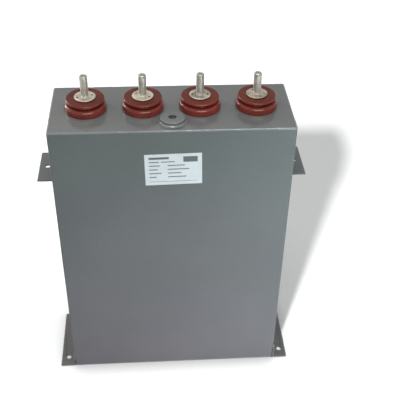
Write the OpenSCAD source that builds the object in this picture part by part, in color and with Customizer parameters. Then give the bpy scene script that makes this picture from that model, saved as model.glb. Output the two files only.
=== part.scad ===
// Pulse capacitor: a film winding pack in a welded sheet-steel case, with four stud terminals on the lid.
// Millimetres. The origin is at the middle of the underside, +Z is up and the labelled front faces -Y.

/* [Case] */
// Width of the case from side to side
case_w = 340; // [330:1:420]
// Depth of the case from front to back
case_d = 125; // [122:1:170]
// Height of the case from the floor to the top of the lid
case_h = 470; // [300:1:600]
// Thickness of the folded wall sheet
wall_t = 1.5; // [1:0.1:2]
// Thickness of the lid and of the base plate
plate_t = 2; // [2:0.1:4]
// Outside radius of the folded upright corners
corner_r = 3; // [2.5:0.1:6]
// Rounding of the outer edge of the lid and of the base plate
edge_r = 1.8; // [0.4:0.1:1.9]

/* [Brackets] */
// Thickness of the bracket sheet
bracket_t = 2; // [1.5:0.1:3]
// Inside radius of the bracket folds
bracket_bend_r = 1.5; // [0.5:0.1:3]
// Height of the bracket leg that is welded to the case
bracket_leg = 32; // [20:1:60]
// How far the upper brackets stand out from the case
tab_reach = 25; // [22:0.5:40]
// Length of the upper brackets from front to back
tab_len = 72; // [30:1:115]
// Depth of the top face of the upper brackets below the top of the lid
tab_drop = 96; // [20:1:180]
// Diameter of the hole in the upper brackets
tab_hole_d = 7; // [4:0.1:10]
// Distance of the upper bracket hole from the side of the case
tab_hole_out = 13; // [12:0.5:16]
// How far the feet stand out from the case
foot_reach = 24; // [22:0.5:40]
// Length of the feet from front to back, starting flush with the front
foot_len = 120; // [110:1:122]
// Diameter of the holes in the feet
foot_hole_d = 9; // [5:0.1:11]
// Distance of the foot holes from the side of the case
foot_hole_out = 13; // [12:0.5:15]
// Distance between the front and the rear hole of a foot
foot_hole_pitch = 85; // [50:1:95]

/* [Terminals] */
// Distance of the outer terminals from the sides of the case
terminal_inset = 50; // [44:0.5:56]
// Diameter of the terminal stud
stud_d = 11; // [6:0.5:13]
// Height of the stud above its flange
stud_h = 31.6; // [15:0.1:60]
// Chamfer at the ends of the stud
stud_chamfer = 1.2; // [0.3:0.1:2]
// Diameter of the round flange on the stud
flange_d = 30; // [26:0.5:36]
// Thickness of the flange
flange_t = 1.9; // [1:0.1:4]
// Rounding of the upper edge of the flange
flange_edge_r = 0.6; // [0.2:0.1:0.9]
// Diameter of the two spanner holes in the flange
spanner_hole_d = 3; // [1.5:0.1:4]
// Distance between the two spanner holes
spanner_hole_pitch = 21; // [19:0.5:22]

/* [Bushings] */
// Diameter of the lower disc of the bushing
shed_d = 59; // [54:0.5:64]
// Height of the lower disc
shed_h = 11; // [8:0.1:16]
// Rounding of the upper edge of the lower disc
shed_shoulder_r = 4.5; // [1:0.1:6]
// Rounding of the lower edge of the lower disc
shed_foot_r = 1.5; // [0.3:0.1:2]
// Diameter of the bushing in the groove
groove_d = 43; // [36:0.5:48]
// Height of the groove between the two discs
groove_h = 3.5; // [2:0.1:8]
// Diameter of the upper disc
cap_d = 54.6; // [50:0.1:60]
// Thickness of the upper disc
cap_t = 4; // [3:0.1:8]
// Rounding of the edges of the upper disc
cap_edge_r = 1.7; // [0.5:0.1:1.8]
// Diameter of the bushing neck that passes through the lid
neck_d = 30; // [20:0.5:32]
// Length of the neck below the lid
neck_h = 8; // [4:0.1:12]
// Gap around the neck in the lid and in the inner collar, on the radius
neck_gap = 0.3; // [0.1:0.05:0.6]
// Gap around the stud in every hole that it passes through, on the radius
stud_gap = 0.2; // [0.05:0.05:0.5]
// Inside diameter of the bushing gasket
gasket_in_d = 34; // [33:0.5:36]
// Outside diameter of the bushing gasket
gasket_out_d = 46; // [42:0.5:50]
// Thickness of the squeezed bushing gasket
gasket_t = 1.5; // [0.5:0.1:3]

/* [Inner terminal stack] */
// Diameter of the inner collar under the lid
collar_d = 48; // [40:0.5:52]
// Thickness of the collar floor under the neck
collar_floor = 3.7; // [2:0.1:8]
// Diameter of the clamp washer
washer_d = 28; // [22:0.5:36]
// Thickness of the clamp washer
washer_t = 2.5; // [1:0.1:4]
// Width across flats of the nuts
nut_w = 17.5; // [16:0.5:20]
// Height of the clamp nut
clamp_nut_h = 8; // [5:0.1:10]
// Height of the lead nut
lead_nut_h = 6; // [3:0.1:8]
// Length of stud that stands out below the lead nut
stud_tail = 3; // [2:0.1:6]

/* [Fill port] */
// Distance of the fill port from the front of the case
fill_inset = 26; // [23:0.1:28]
// Diameter of the passage through the lid and the seat ring
fill_bore_d = 12; // [6:0.5:14]
// Diameter of the cap disc
fill_cap_d = 36; // [30:0.5:37]
// Thickness of the cap disc
fill_cap_t = 2; // [1:0.1:4]
// Rounding of the upper edge of the cap disc
fill_cap_edge_r = 0.8; // [0.2:0.1:0.9]
// Diameter of the hole in the cap disc
fill_cap_hole_d = 11; // [6:0.5:14]
// Height of the seat ring between the lid and the cap
fill_seat_h = 4.2; // [2:0.1:8]
// Diameter of the seat ring under the cap
fill_seat_d = 34; // [28:0.5:35]
// How far the soldered foot of the seat ring spreads beyond the ring
fill_fillet = 3; // [1:0.1:3]
// Depth of the seal below the top of the cap
fill_seal_drop = 2.6; // [2.2:0.1:4]
// Gap around the seal in its passage, on the radius
fill_seal_gap = 0.1; // [0.05:0.05:0.3]

/* [Label] */
// Width of the label
label_w = 80; // [40:1:140]
// Height of the label
label_h = 52; // [30:1:80]
// Thickness of the label
label_t = 0.2; // [0.1:0.05:0.5]
// Depth of the middle of the label below the top of the lid
label_drop = 63.3; // [45:0.1:140]
// How far the label is turned out of level, in degrees
label_turn = 1.2; // [-3:0.1:3]

/* [Winding pack] */
// Gap between the pack wrap and the walls
wrap_gap = 0.5; // [0.2:0.1:0.9]
// Thickness of the pack wrap
wrap_t = 1.5; // [0.5:0.1:3]
// Distance of the upper rim of the pack wrap below the lid
wrap_drop = 6; // [2:0.5:20]
// Gap between the pack and the inside of the wrap
pack_gap = 0.5; // [0.2:0.1:0.9]
// Thickness of the board under the windings
base_board_t = 3; // [1:0.5:8]
// Thickness of the board on the windings
top_board_t = 2; // [1:0.5:6]
// Thickness of the board between the two columns of windings
centre_board_t = 2; // [1:0.5:6]
// Number of windings in a column
winding_rows = 6; // [4:1:6]
// Free height between the top board and the lid
lead_space = 47; // [44:0.5:80]
// Thickness of the copper sheet of the buses
bus_t = 1; // [0.5:0.1:2]
// Gap between a bus and the inside of the wrap
bus_gap = 1; // [0.5:0.1:2]
// Width of the bus strips and tabs
bus_w = 30; // [22:0.5:40]
// Inside radius of the fold at the foot of a bus tab
bus_bend_r = 1.5; // [0.5:0.1:3]
// Height of the bus strip that runs across above the windings
bus_cross_h = 18; // [8:0.5:20]
// Gap between the lower end of a bus and the base board
bus_end_gap = 8; // [2:0.5:20]
// Gap between a spacer and the inner collar beside it
spacer_gap = 3; // [1:0.5:6]
// Gap between a spacer and the lid
spacer_play = 0.2; // [0.1:0.1:0.5]
// Length of a spacer from front to back
spacer_len = 90; // [40:1:100]

/* [Hidden] */
// Sides of a full circle
curve = 64;
// Overshoot of a cutter past the face that it cuts
cut_over = 1;
// Number of terminals in the row
terminals = 4;
// How far each pair of spanner holes is turned from the case width, in degrees
spanner_turn = [18, -30, -5, -65];

lid_z = case_h - plate_t;
terminal_pitch = (case_w - 2 * terminal_inset) / (terminals - 1);
terminal_x = [for (i = [0 : terminals - 1]) (i - (terminals - 1) / 2) * terminal_pitch];
bushing_h = shed_h + groove_h + cap_t;
stud_hole_d = stud_d + 2 * stud_gap;
neck_hole_d = neck_d + 2 * neck_gap;
tab_z = case_h - tab_drop;
foot_y = (foot_len - case_d) / 2;
fill_y = fill_inset - case_d / 2;

// Heights of the stack that clamps a terminal, from the lid down
collar_h = neck_h + neck_gap + collar_floor;
washer_z = lid_z - collar_h - washer_t;
clamp_nut_z = washer_z - clamp_nut_h;
bus_tab_z = clamp_nut_z - bus_t;
lead_nut_z = bus_tab_z - lead_nut_h;
stud_end_z = lead_nut_z - stud_tail;

// The space inside the wrap, the boards and the windings
wrap_x = case_w / 2 - wall_t - wrap_gap;
wrap_y = case_d / 2 - wall_t - wrap_gap;
wrap_fold_r = max(corner_r - wall_t - wrap_t, 0.2);
pack_x = wrap_x - wrap_t - pack_gap;
bus_y = wrap_y - wrap_t - bus_gap;
winding_len = 2 * (bus_y - bus_t);
winding_z = plate_t + base_board_t;
pack_top_z = lid_z - lead_space;
winding_top_z = pack_top_z - top_board_t;
winding_h = (winding_top_z - winding_z) / winding_rows;
winding_w = pack_x - centre_board_t / 2;
column_x = (pack_x + centre_board_t / 2) / 2;
spacer_x = terminal_x[terminals - 1] + collar_d / 2 + spacer_gap;

paint = [0.48, 0.49, 0.50];
bushing_red = [0.45, 0.20, 0.17];
tin = [0.80, 0.79, 0.75];
steel = [0.62, 0.63, 0.64];
copper = [0.76, 0.47, 0.32];
board_tan = [0.76, 0.64, 0.45];
film_grey = [0.83, 0.84, 0.82];
phenolic = [0.42, 0.29, 0.20];
rubber = [0.10, 0.10, 0.11];
paper = [0.95, 0.96, 0.97];

// Flat outline of a rectangle with round corners, about its middle
module round_rectangle(w, d, r) {
    square([w - 2 * r, d], center = true);
    square([w, d - 2 * r], center = true);
    for (x = [-1, 1], y = [-1, 1])
        translate([x * (w / 2 - r), y * (d / 2 - r)])
            circle(r, $fn = curve);
}

// Section of a plate edge: r from the corner axis outwards, with the top outer edge rounded
module edge_section(r, t, edge) {
    square([r, t - edge]);
    square([r - edge, t]);
    intersection() {
        square([r, t]);
        translate([r - edge, t - edge])
            circle(edge, $fn = curve);
    }
}

// Plate the size of the case, with its top outer edge rounded all the way round
module edge_plate() {
    inner_w = case_w - 2 * corner_r;
    inner_d = case_d - 2 * corner_r;
    linear_extrude(plate_t)
        square([inner_w, inner_d], center = true);
    for (side = [0, 180]) {
        rotate([0, 0, side])
            translate([inner_w / 2, 0, 0])
                rotate([90, 0, 0])
                    linear_extrude(inner_d, center = true)
                        edge_section(corner_r, plate_t, edge_r);
        rotate([0, 0, side + 90])
            translate([inner_d / 2, 0, 0])
                rotate([90, 0, 0])
                    linear_extrude(inner_w, center = true)
                        edge_section(corner_r, plate_t, edge_r);
    }
    for (x = [-1, 1], y = [-1, 1])
        translate([x * inner_w / 2, y * inner_d / 2, 0])
            rotate_extrude($fn = curve)
                edge_section(corner_r, plate_t, edge_r);
}

// Half section of a round disc between two heights, with its own rounding at each edge
module disc_section(r, z0, z1, low_r, high_r) {
    translate([0, z0 + low_r])
        square([r, z1 - z0 - low_r - high_r]);
    translate([0, z0])
        square([r - low_r, low_r]);
    translate([0, z1 - high_r])
        square([r - high_r, high_r]);
    translate([r - low_r, z0 + low_r])
        circle(low_r, $fn = curve);
    translate([r - high_r, z1 - high_r])
        circle(high_r, $fn = curve);
}

// Section of a folded sheet: flange outwards from the fold, leg upwards
module fold_section(t, bend_r, reach, leg) {
    fold_r = bend_r + t;
    translate([0, fold_r])
        square([t, leg - fold_r]);
    translate([fold_r, 0])
        square([reach - fold_r, t]);
    intersection() {
        square([fold_r, fold_r]);
        translate([fold_r, fold_r])
            difference() {
                circle(fold_r, $fn = curve);
                circle(bend_r, $fn = curve);
            }
    }
}

// Bracket on the right-hand side of the case with its fold at floor level, centred on y
module folded_bracket(reach, len) {
    translate([case_w / 2, 0, 0])
        rotate([90, 0, 0])
            linear_extrude(len, center = true)
                fold_section(bracket_t, bracket_bend_r, reach, bracket_leg);
}

// Round bar of a hole or a rod, standing on z
module upright(d, z, h) {
    translate([0, 0, z])
        cylinder(d = d, h = h, $fn = curve);
}

module case_wrapper() {
    color(paint)
        translate([0, 0, plate_t])
            linear_extrude(lid_z - plate_t)
                difference() {
                    round_rectangle(case_w, case_d, corner_r);
                    round_rectangle(case_w - 2 * wall_t, case_d - 2 * wall_t, corner_r - wall_t);
                }
}

module base_plate() {
    color(paint)
        translate([0, 0, plate_t])
            mirror([0, 0, 1])
                edge_plate();
}

module lid() {
    color(paint)
        difference() {
            translate([0, 0, lid_z])
                edge_plate();
            for (x = terminal_x)
                translate([x, 0, 0])
                    upright(neck_hole_d, lid_z - cut_over, plate_t + 2 * cut_over);
            translate([0, fill_y, 0])
                upright(fill_bore_d, lid_z - cut_over, plate_t + 2 * cut_over);
        }
}

module upper_bracket() {
    color(paint)
        difference() {
            translate([0, 0, tab_z])
                mirror([0, 0, 1])
                    folded_bracket(tab_reach, tab_len);
            translate([case_w / 2 + tab_hole_out, 0, 0])
                upright(tab_hole_d, tab_z - bracket_t - cut_over, bracket_t + 2 * cut_over);
        }
}

module foot_bracket() {
    color(paint)
        translate([0, foot_y, 0])
            difference() {
                folded_bracket(foot_reach, foot_len);
                for (y = [-1, 1])
                    translate([case_w / 2 + foot_hole_out, y * foot_hole_pitch / 2, 0])
                        upright(foot_hole_d, -cut_over, bracket_t + 2 * cut_over);
            }
}

module rating_label() {
    color(paper)
        translate([0, -case_d / 2, case_h - label_drop])
            rotate([0, -label_turn, 0])
                translate([-label_w / 2, -label_t, -label_h / 2])
                    cube([label_w, label_t, label_h]);
}

// Ring soldered on the lid, spreading to a wide foot
module fill_port_seat() {
    seat_r = fill_seat_d / 2;
    color(paint)
        translate([0, fill_y, case_h])
            difference() {
                rotate_extrude($fn = curve)
                    polygon([
                        [0, 0],
                        [seat_r + fill_fillet, 0],
                        [seat_r, fill_fillet / 2],
                        [seat_r, fill_seat_h],
                        [0, fill_seat_h]
                    ]);
                upright(fill_bore_d, -cut_over, fill_seat_h + 2 * cut_over);
            }
}

module fill_port_cap() {
    color(paint)
        translate([0, fill_y, case_h + fill_seat_h])
            difference() {
                rotate_extrude($fn = curve)
                    edge_section(fill_cap_d / 2, fill_cap_t, fill_cap_edge_r);
                upright(fill_cap_hole_d, -cut_over, fill_cap_t + 2 * cut_over);
            }
}

// Plug that closes the passage below the cap
module fill_port_seal() {
    color(steel)
        translate([0, fill_y, 0])
            upright(fill_bore_d - 2 * fill_seal_gap, lid_z,
                case_h + fill_seat_h + fill_cap_t - fill_seal_drop - lid_z);
}

// Moulded insulator with two discs, and a neck that passes down through the lid
module bushing(i) {
    neck_z = -plate_t - neck_h;
    color(bushing_red)
        translate([terminal_x[i], 0, case_h])
            difference() {
                rotate_extrude($fn = curve) {
                    translate([0, neck_z])
                        square([neck_d / 2, shed_h - neck_z]);
                    disc_section(shed_d / 2, 0, shed_h, shed_foot_r, shed_shoulder_r);
                    square([groove_d / 2, bushing_h]);
                    disc_section(cap_d / 2, shed_h + groove_h, bushing_h, cap_edge_r, cap_edge_r);
                }
                upright(stud_hole_d, neck_z - cut_over, bushing_h - neck_z + 2 * cut_over);
                gasket_ring(gasket_t, cut_over);
            }
}

// Ring of a gasket that stands on z = 0 and reaches down by the depth below
module gasket_ring(h, below) {
    difference() {
        upright(gasket_out_d, -below, h + below);
        upright(gasket_in_d, -below - cut_over, h + below + 2 * cut_over);
    }
}

module bushing_gasket(i) {
    color(rubber)
        translate([terminal_x[i], 0, case_h])
            gasket_ring(gasket_t, 0);
}

module inner_collar(i) {
    color(phenolic)
        translate([terminal_x[i], 0, lid_z - collar_h])
            difference() {
                upright(collar_d, 0, collar_h);
                upright(neck_hole_d, collar_floor, collar_h);
                upright(stud_hole_d, -cut_over, collar_h);
            }
}

// Stud and flange turned from one bar
module terminal(i) {
    top_z = case_h + bushing_h + flange_t + stud_h;
    color(tin)
        translate([terminal_x[i], 0, 0])
            difference() {
                union() {
                    rotate_extrude($fn = curve)
                        polygon([
                            [0, stud_end_z],
                            [stud_d / 2 - stud_chamfer, stud_end_z],
                            [stud_d / 2, stud_end_z + stud_chamfer],
                            [stud_d / 2, top_z - stud_chamfer],
                            [stud_d / 2 - stud_chamfer, top_z],
                            [0, top_z]
                        ]);
                    translate([0, 0, case_h + bushing_h])
                        rotate_extrude($fn = curve)
                            edge_section(flange_d / 2, flange_t, flange_edge_r);
                }
                rotate([0, 0, spanner_turn[i]])
                    for (x = [-1, 1])
                        translate([x * spanner_hole_pitch / 2, 0, 0])
                            upright(spanner_hole_d, case_h + bushing_h - cut_over, flange_t + 2 * cut_over);
            }
}

module clamp_washers() {
    color(steel)
        for (x = terminal_x)
            translate([x, 0, washer_z])
                difference() {
                    upright(washer_d, 0, washer_t);
                    upright(stud_hole_d, -cut_over, washer_t + 2 * cut_over);
                }
}

module hex_nuts(z, h) {
    color(steel)
        for (x = terminal_x)
            translate([x, 0, z])
                difference() {
                    cylinder(d = nut_w / cos(30), h = h, $fn = 6);
                    upright(stud_hole_d, -cut_over, h + 2 * cut_over);
                }
}

module clamp_nuts() {
    hex_nuts(clamp_nut_z, clamp_nut_h);
}

module lead_nuts() {
    hex_nuts(lead_nut_z, lead_nut_h);
}

// Front bus: a strip on each column, a strip across above the windings and a tab to terminals 1 and 3
module bus_front() {
    tab_x = [terminal_x[0], terminal_x[2]];
    cross_end = max(column_x, tab_x[1]);
    cross_top_z = bus_tab_z - bus_bend_r;
    strip_z = winding_z + bus_end_gap;
    color(copper)
        difference() {
            union() {
                for (x = [-column_x, column_x])
                    translate([x - bus_w / 2, -bus_y, strip_z])
                        cube([bus_w, bus_t, cross_top_z - strip_z]);
                translate([tab_x[0] - bus_w / 2, -bus_y, cross_top_z - bus_cross_h])
                    cube([cross_end - tab_x[0] + bus_w, bus_t, bus_cross_h]);
                for (x = tab_x) {
                    translate([x, -bus_y, bus_tab_z + bus_t])
                        mirror([0, 0, 1])
                            rotate([90, 0, 90])
                                linear_extrude(bus_w, center = true)
                                    fold_section(bus_t, bus_bend_r, bus_y, bus_cross_h);
                    translate([x, 0, 0])
                        upright(bus_w, bus_tab_z, bus_t);
                }
            }
            for (x = tab_x)
                translate([x, 0, 0])
                    upright(stud_hole_d, bus_tab_z - cut_over, bus_t + 2 * cut_over);
        }
}

// The rear bus is the front bus turned round, so that it serves terminals 2 and 4
module bus_rear() {
    rotate([0, 0, 180])
        bus_front();
}

// Flat-pressed roll of film, lying with its axis from front to back
module winding(side, row) {
    end_r = winding_h / 2;
    color(film_grey)
        translate([side * column_x, 0, winding_z + (row + 0.5) * winding_h])
            rotate([90, 0, 0])
                linear_extrude(winding_len, center = true) {
                    square([winding_w - 2 * end_r, winding_h], center = true);
                    for (x = [-1, 1])
                        translate([x * (winding_w / 2 - end_r), 0])
                            circle(end_r, $fn = curve);
                }
}

module pack_wrap() {
    color(board_tan)
        translate([0, 0, plate_t])
            linear_extrude(lid_z - wrap_drop - plate_t)
                difference() {
                    round_rectangle(2 * wrap_x, 2 * wrap_y, corner_r - wall_t);
                    round_rectangle(2 * (wrap_x - wrap_t), 2 * (wrap_y - wrap_t), wrap_fold_r);
                }
}

module flat_board(z, t) {
    color(board_tan)
        translate([-pack_x, -winding_len / 2, z])
            cube([2 * pack_x, winding_len, t]);
}

module base_board() {
    flat_board(plate_t, base_board_t);
}

module top_board() {
    flat_board(winding_top_z, top_board_t);
}

module centre_board() {
    color(board_tan)
        translate([-centre_board_t / 2, -winding_len / 2, winding_z])
            cube([centre_board_t, winding_len, winding_top_z - winding_z]);
}

// Block between the top board and the lid, outside the last terminal
module pack_spacer() {
    color(board_tan)
        translate([spacer_x, -spacer_len / 2, pack_top_z])
            cube([pack_x - spacer_x, spacer_len, lid_z - spacer_play - pack_top_z]);
}

module left_side() {
    mirror([1, 0, 0])
        children();
}

case_wrapper();
base_plate();
lid();
left_side() upper_bracket();  // upper_bracket_left
upper_bracket();  // upper_bracket_right
left_side() foot_bracket();  // foot_bracket_left
foot_bracket();  // foot_bracket_right
rating_label();
fill_port_seat();
fill_port_cap();
fill_port_seal();
for (i = [0 : terminals - 1]) {
    bushing(i);
    bushing_gasket(i);
    inner_collar(i);
    terminal(i);
}
clamp_washers();
clamp_nuts();
lead_nuts();
bus_front();
bus_rear();
for (row = [0 : winding_rows - 1]) {
    winding(-1, row);
    winding(1, row);
}
pack_wrap();
base_board();
top_board();
centre_board();
left_side() pack_spacer();  // pack_spacer_left
pack_spacer();  // pack_spacer_right
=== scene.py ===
"""Looks of the pulse capacitor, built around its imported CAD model, in metres."""
import math

import bmesh
import bpy
from mathutils import Matrix, Quaternion, Vector, noise


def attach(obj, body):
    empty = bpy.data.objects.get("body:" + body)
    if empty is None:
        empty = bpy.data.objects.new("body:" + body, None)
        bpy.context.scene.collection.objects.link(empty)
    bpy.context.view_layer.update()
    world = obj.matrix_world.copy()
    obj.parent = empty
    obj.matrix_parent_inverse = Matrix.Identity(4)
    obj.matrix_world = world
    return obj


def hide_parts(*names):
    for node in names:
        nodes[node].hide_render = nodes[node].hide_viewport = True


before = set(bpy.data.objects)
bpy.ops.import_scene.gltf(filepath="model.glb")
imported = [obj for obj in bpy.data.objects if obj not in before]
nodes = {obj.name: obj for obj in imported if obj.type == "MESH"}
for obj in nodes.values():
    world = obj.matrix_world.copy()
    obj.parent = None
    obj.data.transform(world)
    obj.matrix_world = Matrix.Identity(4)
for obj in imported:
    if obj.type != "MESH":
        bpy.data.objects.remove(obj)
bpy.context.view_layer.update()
scene = bpy.context.scene

# Sizes in millimetres and turns in degrees, as in the source of the part
MM = 0.001
CASE_W = 340.0
CASE_D = 125.0
CASE_H = 470.0
CORNER_R = 3.0
EDGE_R = 1.8
FRONT_Y = -CASE_D / 2
TERMINAL_X = (-120.0, -40.0, 40.0, 120.0)
SPANNER_TURN = (18.0, -30.0, -5.0, -65.0)
SPANNER_HOLE_X = 10.5
SPANNER_HOLE_R = 1.5
STUD_R = 5.5
STUD_END_Z = 435.5
STUD_TOP_Z = 522.0
STUD_CHAMFER = 1.2
FLANGE_R = 15.0
FLANGE_Z = 488.5
FLANGE_TOP_Z = 490.4
FILL_Y = -36.5
FILL_SEAT_R = 17.0
FILL_SEAT_BORE_R = 6.0
FILL_SEAT_H = 4.2
FILL_CAP_R = 18.0
FILL_CAP_BORE_R = 5.5
FILL_CAP_T = 2.0
LABEL_W = 80.0
LABEL_H = 52.0
LABEL_T = 0.2
LABEL_Z = 406.7
LABEL_TURN = 1.2
FOOT_LEG = 32.0
FOOT_REAR_Y = 57.5
FOOT_HOLE_X = 183.0
FOOT_HOLE_Y = (-45.0, 40.0)
FOOT_HOLE_R = 4.5
TAB_END_Y = 36.0
TAB_Z = 374.0

# Shapes that only the scene has, in millimetres: the thread of the studs and the hollow of the flanges
THREAD_PITCH = 1.8
THREAD_DEPTH = 1.0
FLANGE_DISH = 0.2

# Form of the thread over one pitch: where its flanks would meet, in thread depths, and how steep they are
THREAD_PEAK = 2.0
THREAD_FLANK = 5.2

# Vertices closer than this are joined: in millimetres while a mesh is built, and in metres afterwards
JOIN_MM = 1e-4
JOIN_M = 1e-6

# Brightness of the dull patches on each flange
TIN_DULL = (0.72, 0.74, 0.34, 0.46)

# How far the painted shade reaches out of corners, in metres: case seams, bushing grooves and terminals
SEAM_SHADE_REACH = 0.005
GROOVE_SHADE_REACH = 0.005
TERMINAL_SHADE_REACH = 0.0025


def clamp(value):
    """The value, kept between 0 and 1."""
    return max(0.0, min(1.0, value))


def metres(lengths):
    """Lengths in millimetres, turned into metres."""
    return tuple(length * MM for length in lengths)


def add_object(name, data):
    """New object in the scene."""
    obj = bpy.data.objects.new(name, data)
    scene.collection.objects.link(obj)
    return obj


# Camera and stage

CAMERA_AT = Vector((-0.03067, -0.91353, 1.01074))
CAMERA_AIM = Vector((0.04306, 0.0, 0.30252))
CAMERA_ROLL = math.radians(1.179)
CAMERA_LENS = 67.149
CAMERA_SENSOR = 36.0
CAMERA_FAR = 50.0

# Strength and colours of the sky, each colour with the height of the direction it belongs to
SKY_STRENGTH = 0.60
SKY_STOPS = ((0.0, (0.0, 0.0, 0.0)), (0.6, (1.0, 1.0, 0.99)))

# Colours of the background that the camera and the gloss show, by height in the same way
BACKDROP_STOPS = ((0.20, (1.0, 1.0, 1.0)), (0.45, (0.10, 0.10, 0.10)), (0.59, (0.80, 0.78, 0.76)))

# Floor, in metres: half its side and its height, just under the part
FLOOR_HALF = 6.0
FLOOR_Z = -0.0002

# Shade of the floor close to the object: its reach in metres and its share
CONTACT_REACH = 0.040
CONTACT_SHADE = 0.9

# Even level of that shade in the foot holes, and where it fades out, in radii of the hole
HOLE_LEVEL = (0.60, 0.60, 0.60)
HOLE_FADE = 1.4


def add_camera():
    """Camera at the place and angle of the photograph."""
    data = bpy.data.cameras.new("camera")
    data.lens = CAMERA_LENS
    data.sensor_width = CAMERA_SENSOR
    data.clip_end = CAMERA_FAR
    obj = add_object("camera", data)
    turn = (CAMERA_AIM - CAMERA_AT).to_track_quat("-Z", "Y") @ Quaternion((0, 0, 1), CAMERA_ROLL)
    obj.matrix_world = Matrix.Translation(CAMERA_AT) @ turn.to_matrix().to_4x4()
    scene.camera = obj


def add_area(name, place, target, size, power, colour):
    """Rectangular soft lamp that faces its target."""
    data = bpy.data.lights.new(name, "AREA")
    data.shape = "RECTANGLE"
    data.size, data.size_y = size
    data.energy = power
    data.color = colour
    obj = add_object(name, data)
    place = Vector(place)
    turn = (Vector(target) - place).to_track_quat("-Z", "Y")
    obj.matrix_world = Matrix.Translation(place) @ turn.to_matrix().to_4x4()
    obj.visible_camera = False
    return obj


def add_sun(name, direction, strength, angle):
    """Distant lamp, its angle in degrees."""
    data = bpy.data.lights.new(name, "SUN")
    data.energy = strength
    data.angle = math.radians(angle)
    obj = add_object(name, data)
    obj.rotation_euler = Vector(direction).to_track_quat("-Z", "Y").to_euler()
    return obj


def link_light(lamp, pieces, state):
    """Let a lamp light only a few pieces (INCLUDE), or all but them (EXCLUDE)."""
    group = bpy.data.collections.new("linked_to_" + lamp.name)
    for obj in pieces:
        group.objects.link(obj)
    for link in group.collection_objects:
        link.light_linking.link_state = state
    lamp.light_linking.receiver_collection = group


def sky_ramp(tree, height, stops):
    """Colour by the height of the direction above the horizon."""
    ramp = tree.nodes.new("ShaderNodeValToRGB")
    elements = ramp.color_ramp.elements
    while len(elements) < len(stops):
        elements.new(1.0)
    for element, (place, colour) in zip(elements, stops):
        element.position = place
        element.color = (*colour, 1)
    tree.links.new(height, ramp.inputs["Fac"])
    return ramp.outputs["Color"]


def add_world():
    """White background up to a little above the horizon, and a soft sky for the diffuse light."""
    world = bpy.data.worlds.new("studio")
    scene.world = world
    world.use_nodes = True
    tree = world.node_tree
    tree.nodes.clear()
    out = tree.nodes.new("ShaderNodeOutputWorld")
    coord = tree.nodes.new("ShaderNodeTexCoord")
    split = tree.nodes.new("ShaderNodeSeparateXYZ")
    tree.links.new(coord.outputs["Generated"], split.inputs[0])
    light = tree.nodes.new("ShaderNodeBackground")
    light.inputs["Strength"].default_value = SKY_STRENGTH
    tree.links.new(sky_ramp(tree, split.outputs["Z"], SKY_STOPS), light.inputs["Color"])
    backdrop = tree.nodes.new("ShaderNodeBackground")
    backdrop.inputs["Strength"].default_value = 1.0
    tree.links.new(sky_ramp(tree, split.outputs["Z"], BACKDROP_STOPS), backdrop.inputs["Color"])
    mix = tree.nodes.new("ShaderNodeMixShader")
    tree.links.new(seen_ray(tree), mix.inputs["Fac"])
    tree.links.new(light.outputs[0], mix.inputs[1])
    tree.links.new(backdrop.outputs[0], mix.inputs[2])
    tree.links.new(mix.outputs[0], out.inputs["Surface"])


def seen_ray(tree):
    """1 for rays that show the background: from the camera, in gloss and through glass."""
    path = tree.nodes.new("ShaderNodeLightPath")
    value = path.outputs["Is Camera Ray"]
    for name in ("Is Glossy Ray", "Is Transmission Ray"):
        node = tree.nodes.new("ShaderNodeMath")
        node.operation = "MAXIMUM"
        tree.links.new(value, node.inputs[0])
        tree.links.new(path.outputs[name], node.inputs[1])
        value = node.outputs[0]
    return value


# Materials


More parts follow.
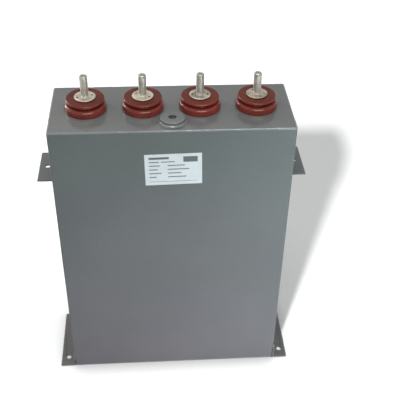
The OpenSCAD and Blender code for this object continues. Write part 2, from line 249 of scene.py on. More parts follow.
class Paint:
    """One procedural material: a Principled shader and short ways to add nodes to it."""

    def __init__(self, name):
        self.material = bpy.data.materials.new(name)
        self.material.use_nodes = True
        self.tree = self.material.node_tree
        self.tree.nodes.clear()
        out = self.tree.nodes.new("ShaderNodeOutputMaterial")
        self.shader = self.tree.nodes.new("ShaderNodeBsdfPrincipled")
        self.tree.links.new(self.shader.outputs[0], out.inputs["Surface"])
        self.coord = self.tree.nodes.new("ShaderNodeTexCoord").outputs["Object"]
        self.normal = None

    def set(self, **values):
        """Set the shader's own sockets, with _ for each space in their names."""
        for key, value in values.items():
            self.shader.inputs[key.replace("_", " ")].default_value = value
        return self

    def stretched(self, scale):
        """Object coordinates scaled by axis."""
        node = self.tree.nodes.new("ShaderNodeMapping")
        node.inputs["Scale"].default_value = scale
        self.tree.links.new(self.coord, node.inputs["Vector"])
        return node.outputs[0]

    def axis(self, vector, name):
        """One component of a vector."""
        node = self.tree.nodes.new("ShaderNodeSeparateXYZ")
        self.tree.links.new(vector, node.inputs[0])
        return node.outputs[name]

    def noise(self, scale, detail=3.0, rough=0.55, vector=None):
        """Cloudy pattern from 0 to 1, its scale in waves per metre."""
        node = self.tree.nodes.new("ShaderNodeTexNoise")
        node.inputs["Scale"].default_value = scale
        node.inputs["Detail"].default_value = detail
        node.inputs["Roughness"].default_value = rough
        self.tree.links.new(vector or self.coord, node.inputs["Vector"])
        return node.outputs["Fac"]

    def nearness(self, reach):
        """1 on open surfaces, down to 0 in corners that are closed in within the reach, in metres."""
        node = self.tree.nodes.new("ShaderNodeAmbientOcclusion")
        node.inputs["Distance"].default_value = reach
        return node.outputs["AO"]

    def distance(self, place):
        """Distance from a place, in metres."""
        node = self.tree.nodes.new("ShaderNodeVectorMath")
        node.operation = "DISTANCE"
        node.inputs[1].default_value = place
        self.tree.links.new(self.coord, node.inputs[0])
        return node.outputs["Value"]

    def ramp(self, fac, low, high, stops=(0.35, 0.65)):
        """Colour from low to high as the factor passes between the two stops."""
        node = self.tree.nodes.new("ShaderNodeValToRGB")
        for element, place, colour in zip(node.color_ramp.elements, stops, (low, high)):
            element.position = place
            element.color = (*colour, 1)
        self.tree.links.new(fac, node.inputs["Fac"])
        return node.outputs["Color"]

    def range(self, fac, start, end, stops=(0.3, 0.7)):
        """Number from start to end as the factor passes between the two stops."""
        node = self.tree.nodes.new("ShaderNodeMapRange")
        for key, value in zip(("From Min", "From Max", "To Min", "To Max"), (*stops, start, end)):
            node.inputs[key].default_value = value
        self.tree.links.new(fac, node.inputs["Value"])
        return node.outputs["Result"]

    def blend(self, fac, a, b, mode="MIX"):
        """Mix of two colours, each an output or a tuple, by a factor output or a number."""
        node = self.tree.nodes.new("ShaderNodeMix")
        node.data_type = "RGBA"
        node.blend_type = mode
        if isinstance(fac, float):
            node.inputs[0].default_value = fac
        else:
            self.tree.links.new(fac, node.inputs[0])
        for value, socket in ((a, node.inputs[6]), (b, node.inputs[7])):
            if isinstance(value, tuple):
                socket.default_value = (*value, 1)
            else:
                self.tree.links.new(value, socket)
        return node.outputs[2]

    def shaded(self, colour, share):
        """A colour times a share or a tint."""
        return self.blend(1.0, colour, share, "MULTIPLY")

    def colour(self, output):
        """Use an output as the base colour."""
        self.tree.links.new(output, self.shader.inputs["Base Color"])

    def roughness(self, output):
        """Use an output as the roughness."""
        self.tree.links.new(output, self.shader.inputs["Roughness"])

    def bump(self, height, distance, strength):
        """Add one layer of bump, its distance in metres."""
        node = self.tree.nodes.new("ShaderNodeBump")
        node.inputs["Distance"].default_value = distance
        node.inputs["Strength"].default_value = strength
        self.tree.links.new(height, node.inputs["Height"])
        if self.normal is not None:
            self.tree.links.new(self.normal, node.inputs["Normal"])
        self.normal = node.outputs[0]
        self.tree.links.new(self.normal, self.shader.inputs["Normal"])


def case_paint(name, dark, light, rough, gloss, wave=0.25, peel=0.5, painted_light_tint=None, seam_shade_reach=None):
    """Grey sprayed paint with a fine orange peel and faint clouds; it may carry a painted tint of the light
    from foot to top, and painted shade in its seams.
    """
    p = Paint(name).set(Specular_IOR_Level=gloss)
    tone = p.ramp(p.noise(scale=7.0, detail=4.0), dark, light)
    grain = p.ramp(p.noise(scale=420.0, detail=2.0), (0.47, 0.47, 0.47), (0.53, 0.53, 0.53))
    tone = p.blend(0.5, tone, grain, "OVERLAY")
    if painted_light_tint:
        # Painted light: the tint of the light by height, pinker at the foot and more teal at the top
        tone = p.shaded(tone, p.ramp(p.axis(p.coord, "Z"), *painted_light_tint, stops=metres((0.0, CASE_H))))
    if seam_shade_reach:
        # Painted shade: darker in seams and corners that are closed in within the reach
        tone = p.shaded(tone, p.range(p.nearness(seam_shade_reach), start=0.20, end=1.0, stops=(0.12, 0.56)))
    p.colour(tone)
    p.roughness(p.range(p.noise(scale=24.0), start=rough - 0.04, end=rough + 0.05))
    p.bump(p.noise(scale=5.0, detail=1.0), distance=0.0012, strength=wave)
    p.bump(p.noise(scale=650.0, detail=2.0), distance=0.00005, strength=peel)
    return p.material


def bushing_red():
    """Red-brown moulded insulator: shiny on round edges, darker and browner on flat tops from dust and
    painted shade, with painted shade in its groove.
    """
    p = Paint("bushing_red").set(Specular_IOR_Level=0.31)
    cloud = p.noise(scale=38.0, detail=4.0)
    body = p.ramp(cloud, (0.110, 0.0180, 0.0130), (0.152, 0.0260, 0.0190))
    # Flat tops darker and browner: dust, and painted shade where less light falls
    dusty_shaded_top = p.ramp(cloud, (0.082, 0.0110, 0.0040), (0.114, 0.0160, 0.0070))
    speck = p.ramp(p.noise(scale=900.0, detail=2.0), (0.46, 0.46, 0.46), (0.54, 0.54, 0.54))
    flat = p.axis(p.tree.nodes.new("ShaderNodeNewGeometry").outputs["Normal"], "Z")
    body = p.blend(p.range(flat, start=0.0, end=1.0, stops=(0.90, 0.99)), body, dusty_shaded_top)
    body = p.blend(0.6, body, speck, "OVERLAY")
    # Painted shade in the groove and other closed-in corners
    p.colour(p.shaded(body, p.range(p.nearness(GROOVE_SHADE_REACH), start=0.35, end=1.0, stops=(0.15, 0.60))))
    p.roughness(p.range(flat, start=0.16, end=0.46, stops=(0.80, 0.99)))
    p.bump(p.noise(scale=90.0, detail=2.0), distance=0.00025, strength=0.25)
    p.bump(p.noise(scale=1400.0, detail=2.0), distance=0.00003, strength=0.4)
    return p.material


def plated_metal(name, dark, light, rough, brush=(40.0, 40.0, 900.0), patches=140.0):
    """Plated metal with fine turning marks and dull patches: the paint and the colour of the patches."""
    p = Paint(name).set(Metallic=1.0, Specular_Tint=(0.5, 0.5, 0.5, 1.0))
    patch = p.ramp(p.noise(scale=patches, detail=4.0), dark, light)
    p.colour(patch)
    p.roughness(p.range(p.noise(scale=220.0), start=rough - 0.06, end=rough + 0.10))
    p.bump(p.noise(scale=1.0, detail=2.0, vector=p.stretched(brush)), distance=0.00003, strength=0.4)
    return p, patch


def terminal_tin(name, dull):
    """Tinned terminal: a cooler stud, with painted shade on its tip, down the flange rim and in the corners.
    """
    dark, light = (dull, 0.90 * dull, 0.76 * dull), (0.96, 0.885, 0.76)
    rim_shade_z = metres((FLANGE_Z + 0.7, FLANGE_TOP_Z))
    foot_z = metres((FLANGE_TOP_Z, FLANGE_TOP_Z + 1.0))
    tip_shade_z = metres((STUD_TOP_Z - 1.8, STUD_TOP_Z - 0.9))
    p, patch = plated_metal(name, dark, light, rough=0.42, patches=75.0)
    height = p.axis(p.coord, "Z")
    # Painted shade: the side of the flange rim darker towards its foot
    patch = p.shaded(patch, p.range(height, start=0.20, end=1.0, stops=rim_shade_z))
    stud = p.ramp(p.noise(scale=95.0, detail=4.0), (0.70, 0.67, 0.605), (0.82, 0.79, 0.72))
    # Painted shade: the tip of the stud darker
    stud = p.shaded(stud, p.range(height, start=1.0, end=0.68, stops=tip_shade_z))
    patch = p.blend(p.range(height, start=0.0, end=1.0, stops=foot_z), patch, stud)
    # Painted shade in the spanner holes and the corners
    p.colour(p.shaded(patch, p.range(p.nearness(TERMINAL_SHADE_REACH), start=0.06, end=1.0, stops=(0.15, 0.75))))
    return p.material


def paper_white():
    """Coated label stock, faintly cool and uneven."""
    p = Paint("label_paper").set(Specular_IOR_Level=0.45)
    p.colour(p.ramp(p.noise(scale=60.0), (0.81, 0.85, 0.87), (0.86, 0.90, 0.92)))
    p.roughness(p.range(p.noise(scale=90.0), start=0.38, end=0.5))
    p.bump(p.noise(scale=160.0, detail=2.0), distance=0.00006, strength=0.3)
    return p.material


def grainy(name, dark, light, rough, scale, stretch=(1.0, 1.0, 1.0)):
    """Dull material with a grain of one scale, stretched by axis."""
    p = Paint(name)
    grain = p.noise(scale, detail=5.0, rough=0.6, vector=p.stretched(stretch))
    p.colour(p.ramp(grain, dark, light))
    p.roughness(p.range(grain, start=rough + 0.06, end=rough - 0.06))
    p.bump(grain, distance=0.0001, strength=0.5)
    return p.material


def floor_white():
    """Pale, plain floor, darker close to the object, and duller in the light that it throws back."""
    p = Paint("floor_white").set(Roughness=0.95, Specular_IOR_Level=0.0)
    thrown = (0.13, 0.145, 0.145)
    plain = p.ramp(p.noise(scale=2.0), (0.550, 0.545, 0.545), (0.560, 0.555, 0.555))
    shade = p.nearness(CONTACT_REACH)
    hole_edge = metres((FOOT_HOLE_R, HOLE_FADE * FOOT_HOLE_R))
    for x in (-FOOT_HOLE_X, FOOT_HOLE_X):
        for y in FOOT_HOLE_Y:
            inside = p.range(p.distance(metres((x, y, 0.0))), start=1.0, end=0.0, stops=hole_edge)
            shade = p.blend(inside, shade, HOLE_LEVEL)
    plain = p.blend(CONTACT_SHADE, plain, shade, "MULTIPLY")
    p.colour(p.blend(seen_ray(p.tree), thrown, plain))
    return p.material


# The paint lies thicker and glossier on the faces that point up, and most of all over the welds
# The case paint carries a painted tint of the light by height; the brackets do not
PAINT = case_paint("case_paint", (0.162, 0.169, 0.169), (0.180, 0.186, 0.185), rough=0.44, gloss=0.24,
                   painted_light_tint=((1.0, 0.935, 0.985), (0.90, 0.985, 0.955)), seam_shade_reach=SEAM_SHADE_REACH)
BRACKET_PAINT = case_paint("bracket_paint", (0.162, 0.166, 0.166), (0.184, 0.186, 0.185), rough=0.44,
                           gloss=0.24, seam_shade_reach=SEAM_SHADE_REACH)
PAINT_TOP = case_paint("case_paint_top", (0.150, 0.152, 0.147), (0.174, 0.175, 0.170), rough=0.18,
                       gloss=0.95, wave=0.06, peel=0.2)
# Thick glossy paint of the welds and the seat ring, made lighter than the case paint as a painted highlight
PAINT_GLOSS_HIGHLIGHT = case_paint("case_paint_thick_highlight", (0.200, 0.206, 0.210), (0.240, 0.245, 0.248), rough=0.13,
                         gloss=0.95)
RED = bushing_red()
TIN = [terminal_tin(f"terminal_metal_{i}", dull) for i, dull in enumerate(TIN_DULL, 1)]
CLAMP_STEEL = plated_metal("clamp_steel", (0.50, 0.50, 0.50), (0.62, 0.62, 0.61), rough=0.38)[0].material
COPPER = plated_metal("bus_copper", (0.62, 0.27, 0.16), (0.78, 0.37, 0.23), rough=0.35,
                      brush=(300.0, 900.0, 40.0))[0].material
PAPER = paper_white()
INK = grainy("label_ink", (0.10, 0.11, 0.12), (0.16, 0.17, 0.18), rough=0.55, scale=700.0)
SOLDER = case_paint("port_solder", (0.26, 0.265, 0.27), (0.32, 0.325, 0.33), rough=0.13, gloss=0.60)
SEAL = grainy("port_seal", (0.043, 0.045, 0.043), (0.074, 0.076, 0.073), rough=0.6, scale=260.0)
RUBBER = grainy("gasket_rubber", (0.012, 0.012, 0.013), (0.030, 0.030, 0.032), rough=0.75, scale=500.0)
PHENOLIC = grainy("collar_phenolic", (0.11, 0.055, 0.028), (0.19, 0.10, 0.055), rough=0.45, scale=120.0,
                  stretch=(1.0, 1.0, 14.0))
FILM = grainy("winding_film", (0.58, 0.59, 0.57), (0.74, 0.75, 0.72), rough=0.30, scale=40.0,
              stretch=(1.0, 1.0, 25.0))
BOARD = grainy("pressboard", (0.46, 0.32, 0.16), (0.60, 0.45, 0.25), rough=0.8, scale=180.0,
               stretch=(1.0, 1.0, 0.3))

NODE_MATERIALS = {
    "case_wrapper": PAINT, "base_plate": PAINT, "lid": PAINT_TOP,
    "upper_bracket": BRACKET_PAINT, "foot_bracket": BRACKET_PAINT,
    "rating_label": PAPER, "fill_port_seat": PAINT_GLOSS_HIGHLIGHT, "fill_port_cap": PAINT_TOP, "fill_port_seal": SEAL,
    "bushing_gasket": RUBBER, "bushing": RED, "inner_collar": PHENOLIC, "terminal": TIN[0],
    "clamp_washers": CLAMP_STEEL, "clamp_nuts": CLAMP_STEEL, "lead_nuts": CLAMP_STEEL, "bus": COPPER,
    "winding": FILM, "pack": BOARD, "base_board": BOARD, "top_board": BOARD, "centre_board": BOARD,
}


def dress_nodes():
    """Give every CAD node its material: the longest name that the node's own name starts with."""
    for name, obj in nodes.items():
        key = max((k for k in NODE_MATERIALS if name.startswith(k)), key=len)
        if not obj.data.materials:
            obj.data.materials.append(NODE_MATERIALS[key])
        for i in range(len(obj.data.materials)):
            obj.data.materials[i] = NODE_MATERIALS[key]


# Shapes, in millimetres


def arc(x, z, r, start, end, steps):
    """Points of an arc in a section, from one angle to another in degrees."""
    angles = [math.radians(start + (end - start) * i / steps) for i in range(steps + 1)]
    return [(x + r * math.cos(a), z + r * math.sin(a)) for a in angles]


def strip_faces(bm, first, second, closed=True):
    """Quads between two equally long rows of vertices, which run all the way round if closed."""
    count = len(first)
    for i in range(count if closed else count - 1):
        j = (i + 1) % count
        bm.faces.new((first[i], first[j], second[j], second[i]))


def ring_of(bm, x, y, r, z, segments, wobble=None):
    """Circle of vertices; wobble gives a change of radius by angle."""
    verts = []
    for i in range(segments):
        a = 2 * math.pi * i / segments
        dr = wobble(a, r) if wobble else 0.0
        verts.append(bm.verts.new((x + (r + dr) * math.cos(a), y + (r + dr) * math.sin(a), z)))
    return verts


def lathe(bm, profile, x, y, segments=128, closed=True, wobble=None):
    """Turn a section of (radius, height) points about an upright axis."""
    rings = [ring_of(bm, x, y, r, z, segments, wobble) for r, z in profile]
    for first, second in zip(rings, rings[1:]):
        strip_faces(bm, first, second)
    if closed:
        strip_faces(bm, rings[-1], rings[0])
    return rings


def close_up(bm):
    """Join the vertices that meet, turn the faces outwards, and go from millimetres to metres."""
    bmesh.ops.remove_doubles(bm, verts=bm.verts, dist=JOIN_MM)
    bmesh.ops.recalc_face_normals(bm, faces=bm.faces)
    bm.transform(Matrix.Scale(MM, 4))


def mesh_of(name, bm):
    """Mesh data made from a working mesh, which is freed."""
    mesh = bpy.data.meshes.new(name)
    bm.to_mesh(mesh)
    bm.free()
    return mesh


def piece(name, bm, material, replaced=(), sharp=35.0):
    """Make a piece of the object from a mesh in millimetres; edges above the sharp angle aren't smoothed."""
    close_up(bm)
    return piece_of(name, mesh_of(name, bm), material, replaced, sharp)


def piece_of(name, mesh, material, replaced=(), sharp=35.0):
    """Make a piece of the object from a mesh in metres."""
    mesh.polygons.foreach_set("use_smooth", [True] * len(mesh.polygons))
    mesh.set_sharp_from_angle(angle=math.radians(sharp))
    mesh.materials.clear()
    mesh.materials.append(material)
    obj = add_object(name, mesh)
    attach(obj, "root")
    if replaced:
        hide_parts(*replaced)
    return obj


def bushing_section():
    """Closed section of the insulator, from the bore at the top outwards and back."""
    cap_r, cap_e = 27.3, 1.7
    shed_r, shoulder, foot = 29.5, 4.5, 1.5
    groove_r, fillet = 21.5, 0.9
    top, under, shed_top = 18.5, 14.5, 11.0
    bore_r, spigot_r, spigot_z = 5.7, 15.0, -10.0
    gasket_in, gasket_out, gasket_h = 17.0, 23.0, 1.5
    section = [(r, top) for r in (bore_r, 12.0, 18.0, 22.0)]
    section += arc(cap_r - cap_e, top - cap_e, cap_e, 90, 0, 8)
    section += arc(cap_r - cap_e, under + cap_e, cap_e, 0, -90, 8)
    section += arc(groove_r + fillet, under - fillet, fillet, 90, 180, 5)
    section += arc(groove_r + fillet, shed_top + fillet, fillet, 180, 270, 5)
    section += arc(shed_r - shoulder, shed_top - shoulder, shoulder, 90, 0, 12)
    section += arc(shed_r - foot, foot, foot, 0, -90, 6)
    section += [(gasket_out, 0.0), (gasket_out, gasket_h), (gasket_in, gasket_h), (gasket_in, 0.0)]
    section += [(spigot_r, 0.0), (spigot_r, spigot_z), (bore_r, spigot_z)]
    return [(r, z + CASE_H) for r, z in section]


def add_bushings():
    """Four insulators, each in place of its solid."""
    section = bushing_section()
    bushings = []
    for i, x in enumerate(TERMINAL_X, 1):
        bm = bmesh.new()
        lathe(bm, section, x, 0.0)
        bushings.append(piece(f"bushing_body_{i}", bm, RED, (f"bushing_{i}",), 50.0))
    return bushings


def thread_radius(k, steps):
    """Radius of the thread over one pitch: root, flank, crest, flank."""
    t = (k % steps) / steps
    rise = clamp(THREAD_PEAK - abs(t - 0.5) * THREAD_FLANK)
    return STUD_R - THREAD_DEPTH * (1.0 - rise)


def threaded_stud(bm, z0, z1, foot_r, segments, steps=10):
    """Screw surface between two heights; its rows follow the helix and flatten into a ring at each end."""
    turns = int((z1 - z0) / THREAD_PITCH) + 3
    rows = []
    for k in range(turns * steps + 1):
        row = []
        for i in range(segments):
            z = z0 + THREAD_PITCH * (k / steps - 1.0 + i / segments)
            r = thread_radius(k, steps)
            r = min(r, STUD_R - max(0.0, z - (z1 - STUD_CHAMFER)))
            runout = clamp((z - z0) / THREAD_PITCH)
            r = foot_r + (r - foot_r) * runout
            if z >= z1:
                r = STUD_R - STUD_CHAMFER
            a = 2 * math.pi * i / segments
            height = min(max(z, z0), z1)
            row.append(bm.verts.new((r * math.cos(a), r * math.sin(a), height)))
        rows.append(row)
    for k in range(len(rows) - 1 - steps):
        for i in range(segments - 1):
            bm.faces.new((rows[k][i], rows[k][i + 1], rows[k + 1][i + 1], rows[k + 1][i]))
        bm.faces.new((rows[k][-1], rows[k + steps][0], rows[k + steps + 1][0], rows[k + 1][-1]))


def terminal_mesh(segments=64):
    """Stud and flange about the axis, in metres, with the two spanner holes cut through."""
    foot_r, foot_z = 5.0, FLANGE_TOP_Z + 1.2
    under, edge, fillet, mid_r, spare = 0.3, 0.6, 0.5, 10.0, 1.0
    bm = bmesh.new()
    section = [(STUD_R - STUD_CHAMFER, STUD_END_Z), (STUD_R, STUD_END_Z + STUD_CHAMFER), (STUD_R, FLANGE_Z)]
    section += [(mid_r, FLANGE_Z), (FLANGE_R - under, FLANGE_Z), (FLANGE_R, FLANGE_Z + under)]
    section += arc(FLANGE_R - edge, FLANGE_TOP_Z - edge, edge, 0, 90, 4)
    section += [(mid_r, FLANGE_TOP_Z - FLANGE_DISH / 2)]
    section += arc(foot_r + fillet, FLANGE_TOP_Z - FLANGE_DISH + fillet, fillet, 270, 180, 3)
    section += [(foot_r, foot_z)]
    rings = lathe(bm, section, 0.0, 0.0, segments, closed=False)
    bm.faces.new(rings[0])
    threaded_stud(bm, foot_z, STUD_TOP_Z, foot_r, segments)
    bm.faces.new(ring_of(bm, 0.0, 0.0, STUD_R - STUD_CHAMFER, STUD_TOP_Z, segments))
    close_up(bm)
    holes = [(SPANNER_HOLE_X, 0.0), (-SPANNER_HOLE_X, 0.0)]
    return cut_holes(bm, holes, SPANNER_HOLE_R, FLANGE_Z - spare, FLANGE_TOP_Z + spare)


def cut_holes(bm, places, r, z0, z1, segments=32):
    """Mesh in metres with upright round holes cut through it; the holes are given in millimetres."""
    cutter = bmesh.new()
    for x, y in places:
        rings = lathe(cutter, [(r, z0), (r, z1)], x, y, segments, closed=False)
        cutter.faces.new(rings[0])
        cutter.faces.new(rings[1])
    bmesh.ops.recalc_face_normals(cutter, faces=cutter.faces)
    cutter.transform(Matrix.Scale(MM, 4))
    body_obj = add_object("body", mesh_of("body", bm))
    tool_obj = add_object("tool", mesh_of("tool", cutter))
    cut = body_obj.modifiers.new("cut", "BOOLEAN")
    cut.operation = "DIFFERENCE"
    cut.solver = "EXACT"
    cut.object = tool_obj
    depsgraph = bpy.context.evaluated_depsgraph_get()
    mesh = bpy.data.meshes.new_from_object(body_obj.evaluated_get(depsgraph))
    bpy.data.objects.remove(body_obj)
    bpy.data.objects.remove(tool_obj)
    joined = bmesh.new()
    joined.from_mesh(mesh)
    bmesh.ops.remove_doubles(joined, verts=joined.verts, dist=JOIN_M)
    joined.to_mesh(mesh)
    joined.free()
    return mesh


def add_terminals():
    """Four threaded terminals, each turned its own way."""
    master = terminal_mesh()
    studs = []
    for i, (x, turn) in enumerate(zip(TERMINAL_X, SPANNER_TURN), 1):
        mesh = master.copy()
        mesh.transform(Matrix.Translation((x * MM, 0, 0)) @ Matrix.Rotation(math.radians(turn), 4, "Z"))
        stud = piece_of(f"terminal_stud_{i}", mesh, TIN[i - 1], (f"terminal_{i}",), 40.0)
        studs.append(stud)
    bpy.data.meshes.remove(master)
    return studs


def rounded_path(w, d, r, step, corner_steps=6):
    """Points round a rectangle with round corners, each with its outward direction."""
    path = []
    straight = ((w / 2, -d / 2 + r, 0, 1, d - 2 * r), (w / 2 - r, d / 2, -1, 0, w - 2 * r),
                (-w / 2, d / 2 - r, 0, -1, d - 2 * r), (-w / 2 + r, -d / 2, 1, 0, w - 2 * r))
    for x, y, dx, dy, length in straight:
        count = max(1, round(length / step))
        for i in range(count):
            path.append((x + dx * length * i / count, y + dy * length * i / count, dy, -dx))
        x, y = x + dx * length, y + dy * length
        cx, cy = x - dy * r, y + dx * r
        start = math.atan2(-dx, dy)
        for i in range(corner_steps):
            a = start + math.pi / 2 * i / corner_steps
            path.append((cx + r * math.cos(a), cy + r * math.sin(a), math.cos(a), math.sin(a)))
    return path


# Welds are smooth up to this angle, in degrees
WELD_SHARP = 60.0


def add_edge_bead(name, edge_z, up, low, high, seed):
    """Ground weld along the outer edge of the lid or of the base: a thin uneven skin on the rounded edge."""
    step, left_fade, sunk = 1.6, 140.0, -0.25
    slow, fast, fast_share = 0.09, 0.35, 0.5
    level, right_share = 0.45, 0.35
    round_edge = arc(-EDGE_R, -EDGE_R, EDGE_R, 0, 90, 7)
    # Points of the skin: place and direction, each outwards and up, and share of the height; below 0 is sunk
    skin = [(0.0, -2.5, 1, 0, -1.0), (0.0, -2.2, 1, 0, 0.45), (0.0, -1.95, 1, 0, 1.0)]
    skin += [(x, z, (x + EDGE_R) / EDGE_R, (z + EDGE_R) / EDGE_R, 1.0) for x, z in round_edge]
    skin += [(-1.95, 0.0, 0, 1, 0.8), (-2.2, 0.0, 0, 1, 0.35), (-2.5, 0.0, 0, 1, -1.0)]
    inner = [(-2.4, -1.0), (-1.0, -2.4)]
    bm = bmesh.new()
    rows = []
    for x, y, nx, ny in rounded_path(CASE_W, CASE_D, CORNER_R, step):
        wave = noise.noise(Vector((x * slow, y * slow, seed)))
        wave += fast_share * noise.noise(Vector((x * fast, y * fast, seed + 7)))
        left = clamp(0.5 - x / left_fade)
        height = low + (high - low) * clamp(level + wave) * (right_share + (1 - right_share) * left)
        row = []
        for sx, sz, ox, oz, share in skin:
            lift = share * height if share > 0 else sunk
            out, rise = sx + ox * lift, sz + oz * lift
            row.append(bm.verts.new((x + nx * out, y + ny * out, edge_z + up * rise)))
        for out, rise in inner:
            row.append(bm.verts.new((x + nx * out, y + ny * out, edge_z + up * rise)))
        rows.append(row)
    for first, second in zip(rows, rows[1:] + rows[:1]):
        strip_faces(bm, first, second)
    return piece(name, bm, PAINT_GLOSS_HIGHLIGHT, sharp=WELD_SHARP)


def sweep_bead(bm, start, end, r, seed, flat=0.75, ripple=2.6, sides=12):
    """Run of weld between two points: a tapered, rippled bead."""
    start, end = Vector(start), Vector(end)
    along = end - start
    length = along.length
    along.normalize()
    side = along.orthogonal().normalized()
    other = along.cross(side)
    step, taper, tip = 0.5, 1.4 * r, 0.03
    rippled, uneven, stray = 0.10, 0.25, 0.2
    uneven_waves, stray_waves = 0.22, 0.15
    count = max(6, int(length / step))
    rows = []
    for i in range(count + 1):
        t = i / count
        ends = min(1.0, t * length / taper, (1 - t) * length / taper)
        swell = math.sqrt(max(0.0, 1 - (1 - ends) ** 2)) * (1 - tip) + tip
        wave = rippled * math.sin(2 * math.pi * t * length / ripple)
        wave += uneven * noise.noise(Vector((t * length * uneven_waves, seed, 3.1)))
        radius = r * swell * (1 + wave)
        centre = start + along * (t * length)
        off = noise.noise(Vector((t * length * stray_waves, seed + 5, 0.7)))
        centre = centre + side * (stray * r * off)
        row = []
        for k in range(sides):
            a = 2 * math.pi * k / sides
            across = side * (radius * math.cos(a))
            row.append(bm.verts.new(centre + across + other * (radius * flat * math.sin(a))))
        rows.append(row)
    for first, second in zip(rows, rows[1:]):
        strip_faces(bm, first, second)
    bm.faces.new(rows[0])
    bm.faces.new(rows[-1])


# Weld runs of the feet: up the front edge, by side, up the rear edge, and short ones along the top of the leg
FRONT_WELDS = ((-1, "left", 13.5), (1, "right", 25.0))
FRONT_WELD_TOP = 32.5
REAR_WELD = (5.0, 31.5)
TOP_WELD_Y = (-45.0, -5.0, 33.0)
TOP_WELD_HALF = 11.0

# Weld runs of the upper brackets, measured down from the tab: up both ends of the leg, and along under it
TAB_WELD = (30.0, 3.0)
TAB_UNDER = 32.3
TAB_UNDER_HALF = 14.0

# Radius of the weld runs, and how far their middle lies off the sheet that they join
WELD_R = 1.5
REAR_WELD_R = 1.6
WELD_OUT = 0.5
LEVEL_WELD_OUT = 0.6
END_GAP = 0.4
FRONT_GAP = 0.9
TOP_GAP = 0.3


def upright_bead(bm, x, y, z0, z1, r, seed):
    """Weld run straight up."""
    sweep_bead(bm, (x, y, z0), (x, y, z1), r, seed)


def level_bead(bm, x, middle, half, z, seed):
    """Weld run from front to back."""
    sweep_bead(bm, (x, middle - half, z), (x, middle + half, z), WELD_R, seed)


def add_bracket_welds():
    """Weld runs that hold the bracket legs on the sides of the case."""
    half = CASE_W / 2
    for side, word, front_z in FRONT_WELDS:
        x = side * half
        upright_x = x + side * WELD_OUT
        level_x = x + side * LEVEL_WELD_OUT
        bm = bmesh.new()
        front_x = side * (half - WELD_OUT)
        upright_bead(bm, front_x, FRONT_Y + FRONT_GAP, front_z, FRONT_WELD_TOP, WELD_R, side)
        upright_bead(bm, upright_x, FOOT_REAR_Y + END_GAP, *REAR_WELD, REAR_WELD_R, side + 4)
        for k, y in enumerate(TOP_WELD_Y):
            level_bead(bm, level_x, y, TOP_WELD_HALF, FOOT_LEG + TOP_GAP, side + 9 + k)
        piece(f"foot_weld_{word}", bm, BRACKET_PAINT, sharp=WELD_SHARP)
        bm = bmesh.new()
        for end in (-1, 1):
            y = end * (TAB_END_Y + END_GAP)
            upright_bead(bm, upright_x, y, TAB_Z - TAB_WELD[0], TAB_Z - TAB_WELD[1], WELD_R, side + end * 13)
        level_bead(bm, level_x, 0.0, TAB_UNDER_HALF, TAB_Z - TAB_UNDER, side + 31)
        piece(f"tab_weld_{word}", bm, BRACKET_PAINT, sharp=WELD_SHARP)


def add_corner_shadow():
    """Dark strip put as painted shade in the gap between the case and the foot bracket, low on the right
    front corner.
    """
    x, y = CASE_W / 2 - 0.9, FRONT_Y + 0.65
    low, high, lean, r, seed = 0.3, 18.0, 0.4, 1.35, 2.0
    bm = bmesh.new()
    sweep_bead(bm, (x, y, low), (x + lean, y, high), r, seed)
    piece("corner_shadow_right", bm, SEAL, sharp=WELD_SHARP)


# Fill port


def uneven_foot(a, r):
    """Change of radius round the seat ring, only in its foot of solder."""
    start, width = 16.9, 3.0
    coarse, fine = 0.8, 0.35
    waves, finer = 2.2, 3.1
    foot = clamp((r - start) / width)
    p = Vector((math.cos(a) * waves, math.sin(a) * waves, 0.4))
    return foot * (coarse * noise.noise(p) + fine * noise.noise(p * finer))


def add_seat_ring():
    """Seat ring with an uneven foot of solder."""
    top, edge = CASE_H + FILL_SEAT_H, 0.4
    section = [(FILL_SEAT_BORE_R, CASE_H), (FILL_SEAT_BORE_R, top)]
    section += [(FILL_SEAT_R - edge, top), (FILL_SEAT_R, top - edge)]
    # Foot of solder: radius, and height over the lid
    foot = ((17.05, 2.6), (17.35, 2.15), (17.9, 1.75), (18.7, 1.3), (19.4, 0.75), (19.9, 0.25), (20.0, -0.1))
    section += [(r, CASE_H + h) for r, h in foot]
    bm = bmesh.new()
    lathe(bm, section, 0.0, FILL_Y, wobble=uneven_foot)
    piece("fill_port_ring", bm, PAINT_GLOSS_HIGHLIGHT, ("fill_port_seat",), 50.0)


def add_cap_disc():
    """Cap disc with a round edge and a hole in its middle."""
    low, r, hole_r = CASE_H + FILL_SEAT_H, FILL_CAP_R, FILL_CAP_BORE_R
    top = low + FILL_CAP_T
    edge, chamfer = 0.8, 0.3
    section = [(hole_r, low), (hole_r, top - chamfer), (hole_r + chamfer, top), (9.0, top), (13.0, top)]
    section += arc(r - edge, top - edge, edge, 90, 0, 6)
    section += [(r, low + chamfer), (r - chamfer, low)]
    bm = bmesh.new()
    lathe(bm, section, 0.0, FILL_Y)
    piece("fill_port_disc", bm, PAINT_TOP, ("fill_port_cap",), 45.0)


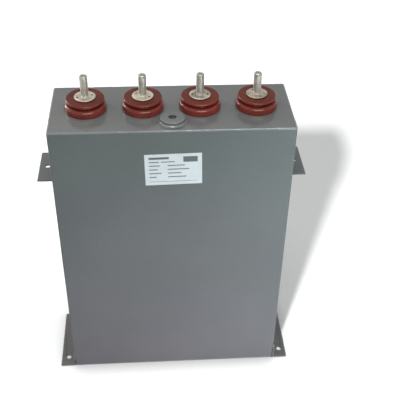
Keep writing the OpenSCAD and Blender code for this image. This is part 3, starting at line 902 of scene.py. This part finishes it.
def add_solder_drops():
    """Drops of solder at the foot of the seat ring, and one on the cap."""
    cap_top = CASE_H + FILL_SEAT_H + FILL_CAP_T
    narrow, rough = 0.8, 0.18
    # Each drop: place, radius and height
    drops = (
        (-1.6, -56.6, CASE_H + 1.4, 1.9, 1.1),
        (-6.1, -55.0, CASE_H + 1.3, 1.6, 1.0),
        (4.0, -55.6, CASE_H + 1.4, 2.3, 1.1),
        (9.5, -53.0, CASE_H + 1.2, 1.7, 0.9),
        (-12.5, -50.6, CASE_H + 1.2, 1.5, 0.9),
        (0.6, -50.4, cap_top, 1.3, 0.55),
    )
    bm = bmesh.new()
    for x, y, z, r, h in drops:
        for v in bmesh.ops.create_icosphere(bm, subdivisions=3, radius=1.0)["verts"]:
            bump = 1 + rough * noise.noise(Vector((v.co.x + x, v.co.y + y, v.co.z)))
            v.co = Vector((x + v.co.x * r * bump, y + v.co.y * r * narrow * bump, z + v.co.z * h * bump))
    piece("fill_port_drops", bm, SOLDER, sharp=180.0)


# Label and floor


def label_frame():
    """From label coordinates, x and z on the sheet and y into the case, to the part's frame."""
    return Matrix.Translation((0, FRONT_Y, LABEL_Z)) @ Matrix.Rotation(math.radians(-LABEL_TURN), 4, "Y")


def flat_box(bm, x0, x1, z0, z1, y0, y1, across=1, up=1):
    """Box between two depths, its broad faces divided into a grid."""
    def sheet(y):
        return [[bm.verts.new((x0 + (x1 - x0) * i / across, y, z0 + (z1 - z0) * j / up))
                 for i in range(across + 1)] for j in range(up + 1)]
    front, back = sheet(y0), sheet(y1)
    for rows in (front, back):
        for first, second in zip(rows, rows[1:]):
            strip_faces(bm, first, second, closed=False)
    for a, b in ((front[0], back[0]), (front[-1], back[-1])):
        strip_faces(bm, a, b, closed=False)
    for k in (0, -1):
        strip_faces(bm, [row[k] for row in front], [row[k] for row in back], closed=False)


def add_label():
    """Paper label with a generic print of plain bars."""
    ink_out, ink_in = 0.03, 0.02
    bm = bmesh.new()
    flat_box(bm, -LABEL_W / 2, LABEL_W / 2, -LABEL_H / 2, LABEL_H / 2, -LABEL_T, 0.0, across=40, up=26)
    bm.transform(label_frame())
    piece("label_sheet", bm, PAPER, ("rating_label",))
    # Bars: left, right, bottom and top on the sheet; then the lengths of the rows of two
    left, middle, right, bar_h = -34, -8, 34, 1.5
    bars = [(left, -6, 17.5, 21.0), (left, -20, 12.2, 13.6), (-17, 2, 12.2, 13.6), (14, right, 12.0, 21.0)]
    rows = ((15, 24), (12, 30), (17, 19), (10, 26))
    top, step = 6.0, 6.4
    for row, (first, second) in enumerate(rows):
        z = top - row * step
        bars.append((left, left + first, z, z + bar_h))
        bars.append((middle, middle + second, z, z + bar_h))
    bars.append((left, right, -20.6, -20.0))
    bm = bmesh.new()
    for x0, x1, z0, z1 in bars:
        flat_box(bm, x0, x1, z0, z1, -LABEL_T - ink_out, -LABEL_T + ink_in)
    bm.transform(label_frame())
    piece("label_print", bm, INK)


def soften_edges():
    """Small rounded edges on the sheet-metal brackets, their width in metres."""
    width, segments, angle = 0.00035, 2, math.radians(40)
    for name in ("upper_bracket_left", "upper_bracket_right", "foot_bracket_left", "foot_bracket_right"):
        obj = nodes[name]
        weld = obj.modifiers.new("join", "WELD")
        weld.merge_threshold = JOIN_M
        bevel = obj.modifiers.new("edges", "BEVEL")
        bevel.width = width
        bevel.segments = segments
        bevel.limit_method = "ANGLE"
        bevel.angle_limit = angle


def add_floor():
    """Flat floor under the part."""
    bm = bmesh.new()
    corners = ((-1, -1), (1, -1), (1, 1), (-1, 1))
    bm.faces.new([bm.verts.new((x * FLOOR_HALF, y * FLOOR_HALF, FLOOR_Z)) for x, y in corners])
    mesh = mesh_of("floor", bm)
    mesh.materials.append(floor_white())
    obj = add_object("floor", mesh)
    return obj


# Distant lamps for the floor alone: name, direction, strength and angle
FLOOR_SUNS = (
    ("floor_sun", (0.352, 0.762, -0.577), 6.8, 4.5),
    ("floor_fill", (-0.55, 0.10, -0.83), 1.15, 30.0),
)

# Soft lamps: name, place, target, size, power and colour
LAMPS = (
    ("top_softbox", (-0.15, -0.25, 1.8), (0.0, 0.0, 0.47), (1.0, 0.6), 3.7, (0.84, 0.97, 1.0)),
    ("right_softbox", (0.38, -0.52, 0.13), (0.1, -0.06, 0.22), (0.30, 0.25), 2.1, (0.83, 1.0, 1.0)),
    ("left_softbox", (-1.35, 0.95, 1.0), (0.0, 0.0, 0.48), (0.32, 1.0), 13.2, (1.0, 0.90, 0.84)),
    ("front_top_strip", (0.10, -0.75, 2.3), (0.0, -0.06, 0.47), (0.9, 0.10), 9.0, (0.80, 0.96, 1.0)),
    ("edge_strip", (0.40, -0.75, 2.3), (0.1, -0.06, 0.47), (1.0, 0.24), 18.5, (0.84, 0.97, 1.0)),
    ("low_softbox", (0.05, -0.42, 0.05), (0.05, -0.06, 0.03), (0.4, 0.05), 0.34, (1.0, 0.66, 0.92)),
    ("bushing_softbox", (0.18, -1.05, 1.10), (0.0, 0.0, 0.48), (1.1, 0.55), 16.5, (1.0, 0.95, 0.90)),
    ("bushing_glint", (-1.36, 0.72, 0.93), (0.0, 0.0, 0.48), (2.0, 0.36), 10.0, (1.0, 0.90, 0.88)),
)


def main():
    """Build the scene: camera, light, floor, and the pieces of the part."""
    scene.view_settings.view_transform = "Standard"
    add_camera()
    add_world()
    floor = add_floor()
    for sun in FLOOR_SUNS:
        link_light(add_sun(*sun), [floor], "INCLUDE")
    lamps = {lamp[0]: add_area(*lamp) for lamp in LAMPS}
    dress_nodes()
    soften_edges()
    bushings = add_bushings()
    studs = add_terminals()
    feet = [nodes["foot_bracket_left"], nodes["foot_bracket_right"]]
    lid_bead = add_edge_bead("lid_weld_bead", CASE_H, up=1, low=0.05, high=0.30, seed=1.3)
    add_edge_bead("base_weld_bead", 0.0, up=-1, low=0.05, high=0.18, seed=5.9)
    add_bracket_welds()
    add_corner_shadow()
    add_seat_ring()
    add_cap_disc()
    add_solder_drops()
    add_label()
    link_light(lamps["bushing_softbox"], bushings, "INCLUDE")
    link_light(lamps["bushing_glint"], [*bushings, *studs], "INCLUDE")
    lamps["bushing_glint"].visible_diffuse = False
    link_light(lamps["left_softbox"], [floor, *studs], "EXCLUDE")
    link_light(lamps["top_softbox"], [lid_bead, *bushings], "EXCLUDE")
    link_light(lamps["front_top_strip"], [lid_bead, *feet, *bushings], "EXCLUDE")
    link_light(lamps["edge_strip"], [lid_bead], "INCLUDE")
    for name in ("right_softbox", "low_softbox"):
        link_light(lamps[name], [floor], "EXCLUDE")


main()
